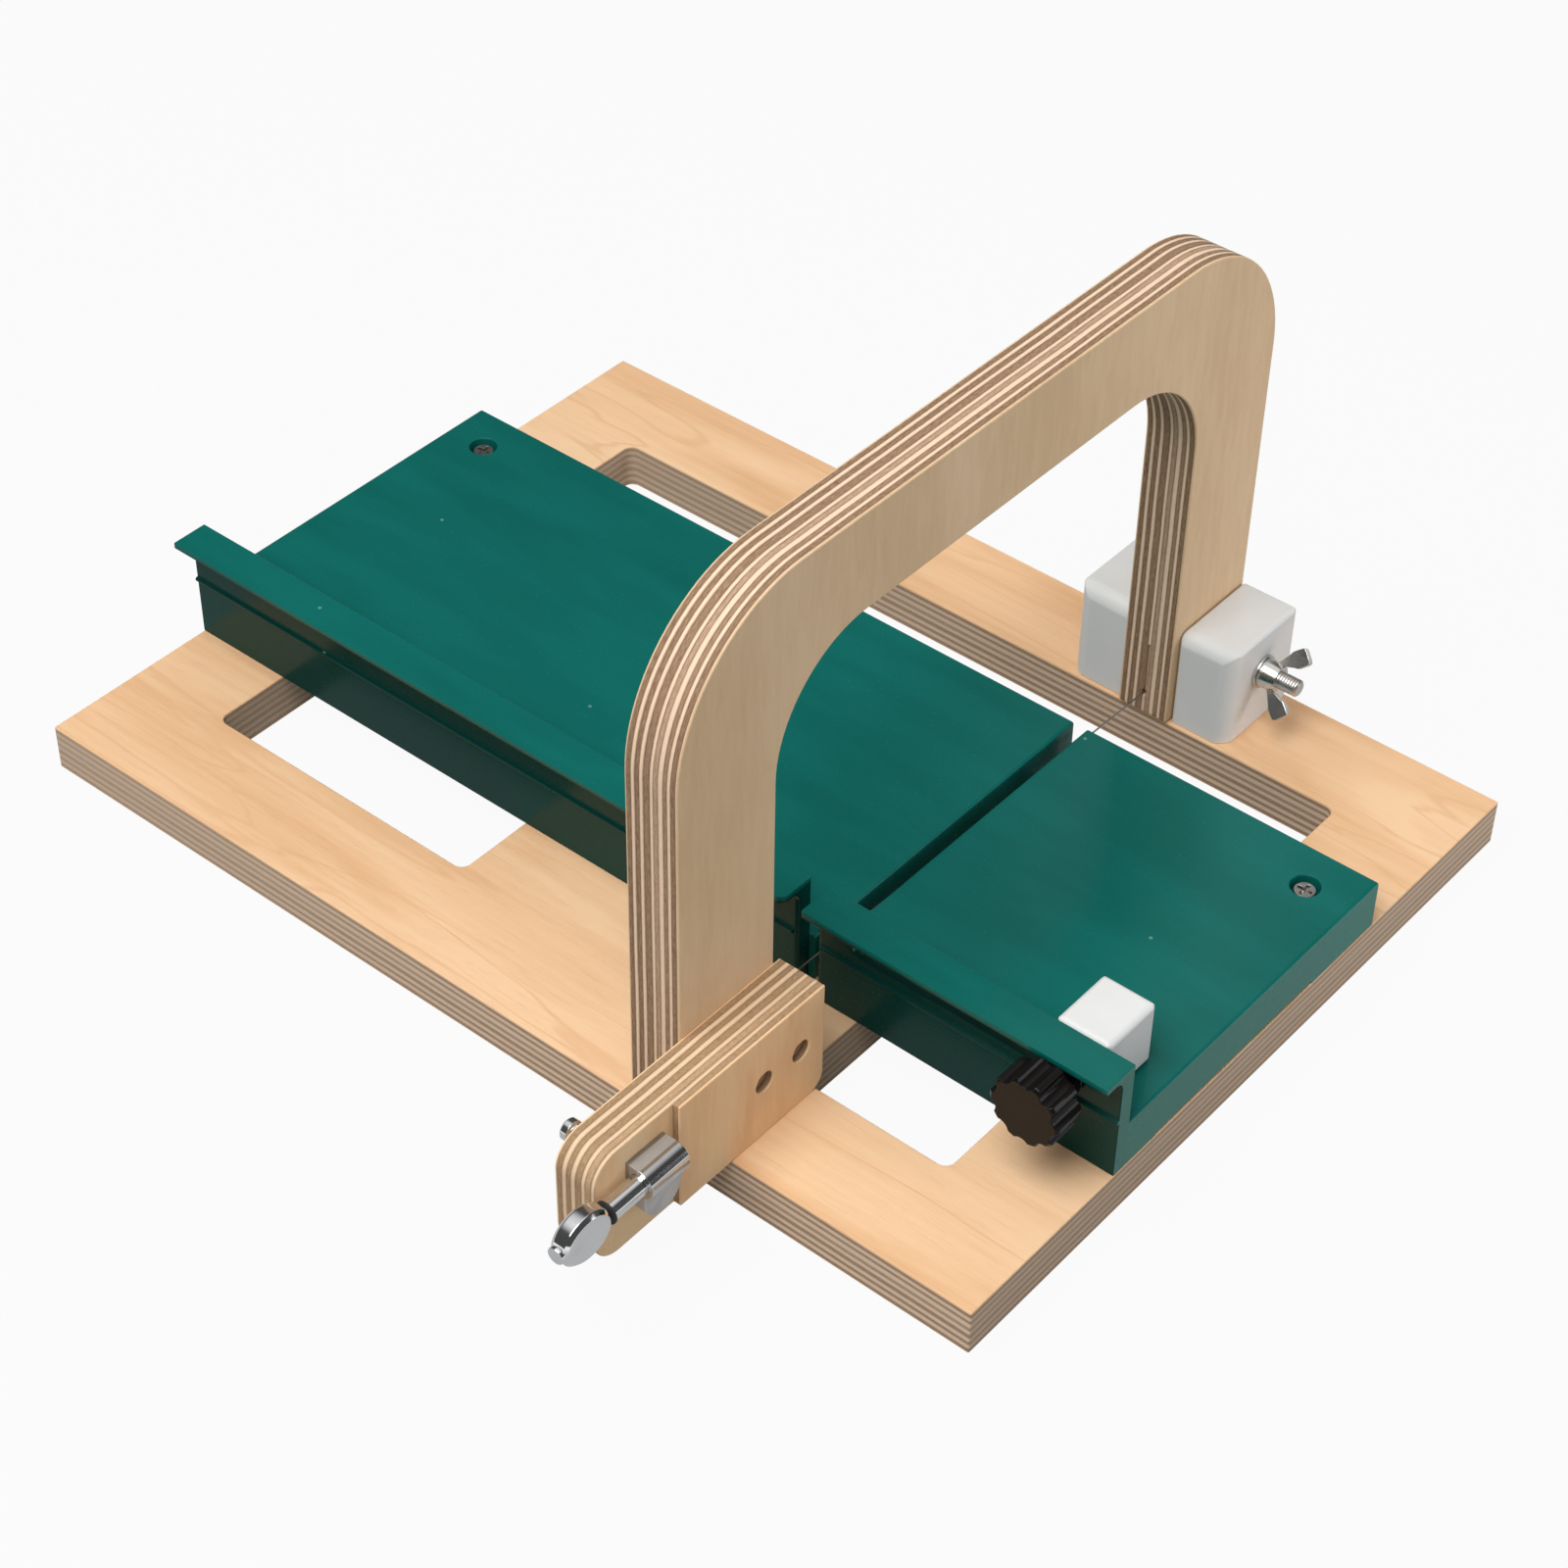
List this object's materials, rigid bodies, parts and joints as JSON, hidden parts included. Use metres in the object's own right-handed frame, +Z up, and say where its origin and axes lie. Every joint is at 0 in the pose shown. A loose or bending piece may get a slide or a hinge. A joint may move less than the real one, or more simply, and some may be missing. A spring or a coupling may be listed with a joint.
{
  "type": "soap cutter",
  "caption": "Soap cutter: plywood base, plastic trays with a fence, a hinged arch that carries a tuned cutting wire, and a sliding stop block with a clamp knob.",
  "frame": {"origin": "centre of the base board's underside", "axes": "+X along the trays to the right, +Y from the fence to the pivot at the back, +Z up"},
  "size_m": [0.32, 0.2995, 0.168],
  "materials": {
    "plywood": "birch plywood with bare, striped edges",
    "green_plastic": "dark blue green moulded plastic, glossy",
    "white_plastic": "white machined plastic, satin",
    "black_plastic": "black moulded plastic, satin",
    "zinc_steel": "zinc plated steel",
    "chrome": "polished chrome",
    "brass": "turned brass",
    "spring_steel": "bright drawn wire"
  },
  "bodies": {
    "base": {"base_board": "plywood", "left_tray": "green_plastic", "right_tray": "green_plastic", "tray_top_screws": "zinc_steel", "tray_under_screws": "zinc_steel", "left_pivot_block": "white_plastic", "right_pivot_block": "white_plastic", "block_screws": "zinc_steel", "pivot_bolt": "zinc_steel"},
    "arch": {"arch_bow": "plywood", "tension_arm": "plywood", "arm_screws": "zinc_steel", "tuner_base_plate": "chrome", "tuner_cover": "chrome", "tuner_bush": "chrome", "bush_washer": "chrome", "cutting_wire": "spring_steel", "wire_ferrule": "brass"},
    "button": {"worm_shaft": "chrome", "button_washer": "black_plastic", "tuner_button": "chrome", "button_screw": "chrome"},
    "post": {"string_post": "chrome", "worm_gear": "brass", "gear_screw": "chrome"},
    "nut_washer": {"wing_washer": "zinc_steel"},
    "nut": {"wing_nut": "zinc_steel"},
    "stop": {"stop_block": "white_plastic", "stop_stud": "zinc_steel"},
    "knob_washer": {"stop_washer": "zinc_steel"},
    "knob": {"clamp_knob": "black_plastic", "knob_insert": "brass"}
  },
  "joints": [
    {"name": "arch_swing", "type": "hinge", "parent": "base", "child": "arch", "pos_m": [0, 0.102, 0.033], "axis": [-1, 0, 0], "range_deg": [0, 99]},
    {"name": "button_turn", "type": "hinge", "parent": "arch", "child": "button", "pos_m": [0.0891, -0.1467, 0.03815], "axis": [0, 1, 0], "continuous": true},
    {"name": "post_turn", "type": "hinge", "parent": "arch", "child": "post", "pos_m": [0.0859, -0.1467, 0.03165], "axis": [1, 0, 0], "continuous": true},
    {"name": "washer_travel", "type": "slide", "parent": "base", "child": "nut_washer", "axis": [1, 0, 0], "range_m": [0, 0.0016]},
    {"name": "nut_turn", "type": "hinge", "parent": "nut_washer", "child": "nut", "pos_m": [0.0918, 0.102, 0.033], "axis": [1, 0, 0], "range_deg": [0, 720]},
    {"name": "stop_slide", "type": "slide", "parent": "base", "child": "stop", "axis": [1, 0, 0], "range_m": [-0.0635, 0.0025]},
    {"name": "knob_travel", "type": "slide", "parent": "stop", "child": "knob_washer", "axis": [0, -1, 0], "range_m": [0, 0.0012]},
    {"name": "knob_turn", "type": "hinge", "parent": "knob_washer", "child": "knob", "pos_m": [0.144, -0.07, 0.0399], "axis": [0, -1, 0], "range_deg": [0, 540]}
  ],
  "couplings": [
    {"joint": "post_turn", "follows": "button_turn", "ratio": 0.071429},
    {"joint": "washer_travel", "follows": "nut_turn", "m_per_rad": 0.0001273},
    {"joint": "knob_travel", "follows": "knob_turn", "m_per_rad": 0.0001273}
  ]
}
